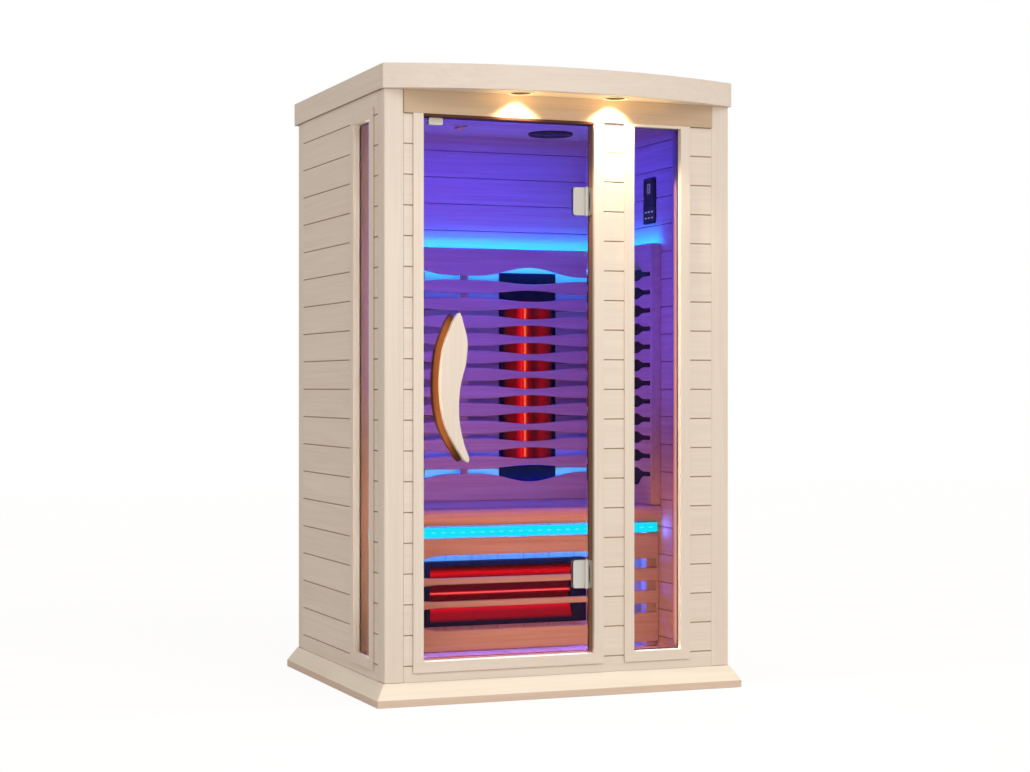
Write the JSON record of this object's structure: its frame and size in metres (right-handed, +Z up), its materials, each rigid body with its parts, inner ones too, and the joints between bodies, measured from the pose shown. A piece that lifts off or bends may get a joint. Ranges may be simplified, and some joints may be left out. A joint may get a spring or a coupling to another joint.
{
  "type": "infrared sauna cabin",
  "caption": "Free-standing sauna cabin of pale boards with a bowed cornice, a hinged glass door, tall windows, a bench, and waved slatted rests in front of infrared heaters.",
  "frame": {"origin": "on the floor, under the middle of the base's width and depth", "axes": "+X to the right seen from the front, +Y from the door into the cabin, +Z up"},
  "size_m": [1.2, 1.09, 1.9],
  "materials": {
    "pale_wood": "whitewashed, satin",
    "inner_wood": "bare, sanded",
    "clear_glass": "clear, polished",
    "satin_nickel": "satin nickel",
    "black_metal": "black, satin",
    "black_plastic": "black, smooth",
    "red_quartz": "glowing red",
    "light_strip": "glowing blue",
    "ivory_plastic": "ivory"
  },
  "bodies": {
    "cabin": {"plinth_front": "pale_wood", "plinth_back": "pale_wood", "plinth_left": "pale_wood", "plinth_right": "pale_wood", "post_front_left": "pale_wood", "post_front_right": "pale_wood", "post_back_left": "pale_wood", "post_back_right": "pale_wood", "front_wall": "pale_wood", "left_wall": "pale_wood", "right_wall": "pale_wood", "back_wall": "pale_wood", "front_header": "pale_wood", "door_frame": "pale_wood", "front_window_frame": "pale_wood", "left_window_frame": "pale_wood", "right_window_frame": "pale_wood", "fascia_front": "pale_wood", "fascia_left": "pale_wood", "fascia_right": "pale_wood", "fascia_back": "pale_wood", "roof_cover": "pale_wood", "soffit_panel": "pale_wood", "floor_panel": "inner_wood", "ceiling_panel": "inner_wood", "back_wave_panel": "inner_wood", "left_wave_panel": "inner_wood", "right_wave_panel": "inner_wood", "bench_seat": "inner_wood", "bench_kick_panel": "inner_wood", "bench_board": "inner_wood", "front_window_glass": "clear_glass", "left_window_glass": "clear_glass", "right_window_glass": "clear_glass", "downlight_left": "satin_nickel", "downlight_right": "satin_nickel", "hinge_leaf_upper": "satin_nickel", "hinge_leaf_lower": "satin_nickel", "hinge_pin_upper": "satin_nickel", "hinge_pin_lower": "satin_nickel", "back_heater_left": "black_metal", "back_heater_right": "black_metal", "leg_heater": "black_metal", "ceiling_speaker": "black_plastic", "control_panel": "black_plastic", "left_heater": "black_plastic", "right_heater": "black_plastic", "back_tube_left": "red_quartz", "back_tube_right": "red_quartz", "leg_tube": "red_quartz", "cove_led_strip": "light_strip", "bench_led_strip": "light_strip"},
    "door": {"door_glass": "clear_glass", "handle_outer": "pale_wood", "handle_inner": "inner_wood", "handle_bolt_upper": "satin_nickel", "handle_bolt_lower": "satin_nickel", "hinge_clamp_upper": "satin_nickel", "hinge_clamp_lower": "satin_nickel", "door_catch": "ivory_plastic"}
  },
  "joints": [
    {"name": "door_hinge", "type": "hinge", "parent": "cabin", "child": "door", "pos_m": [0.095, -0.441, 0.94], "axis": [0, 0, 1], "range_deg": [0, 95]}
  ]
}
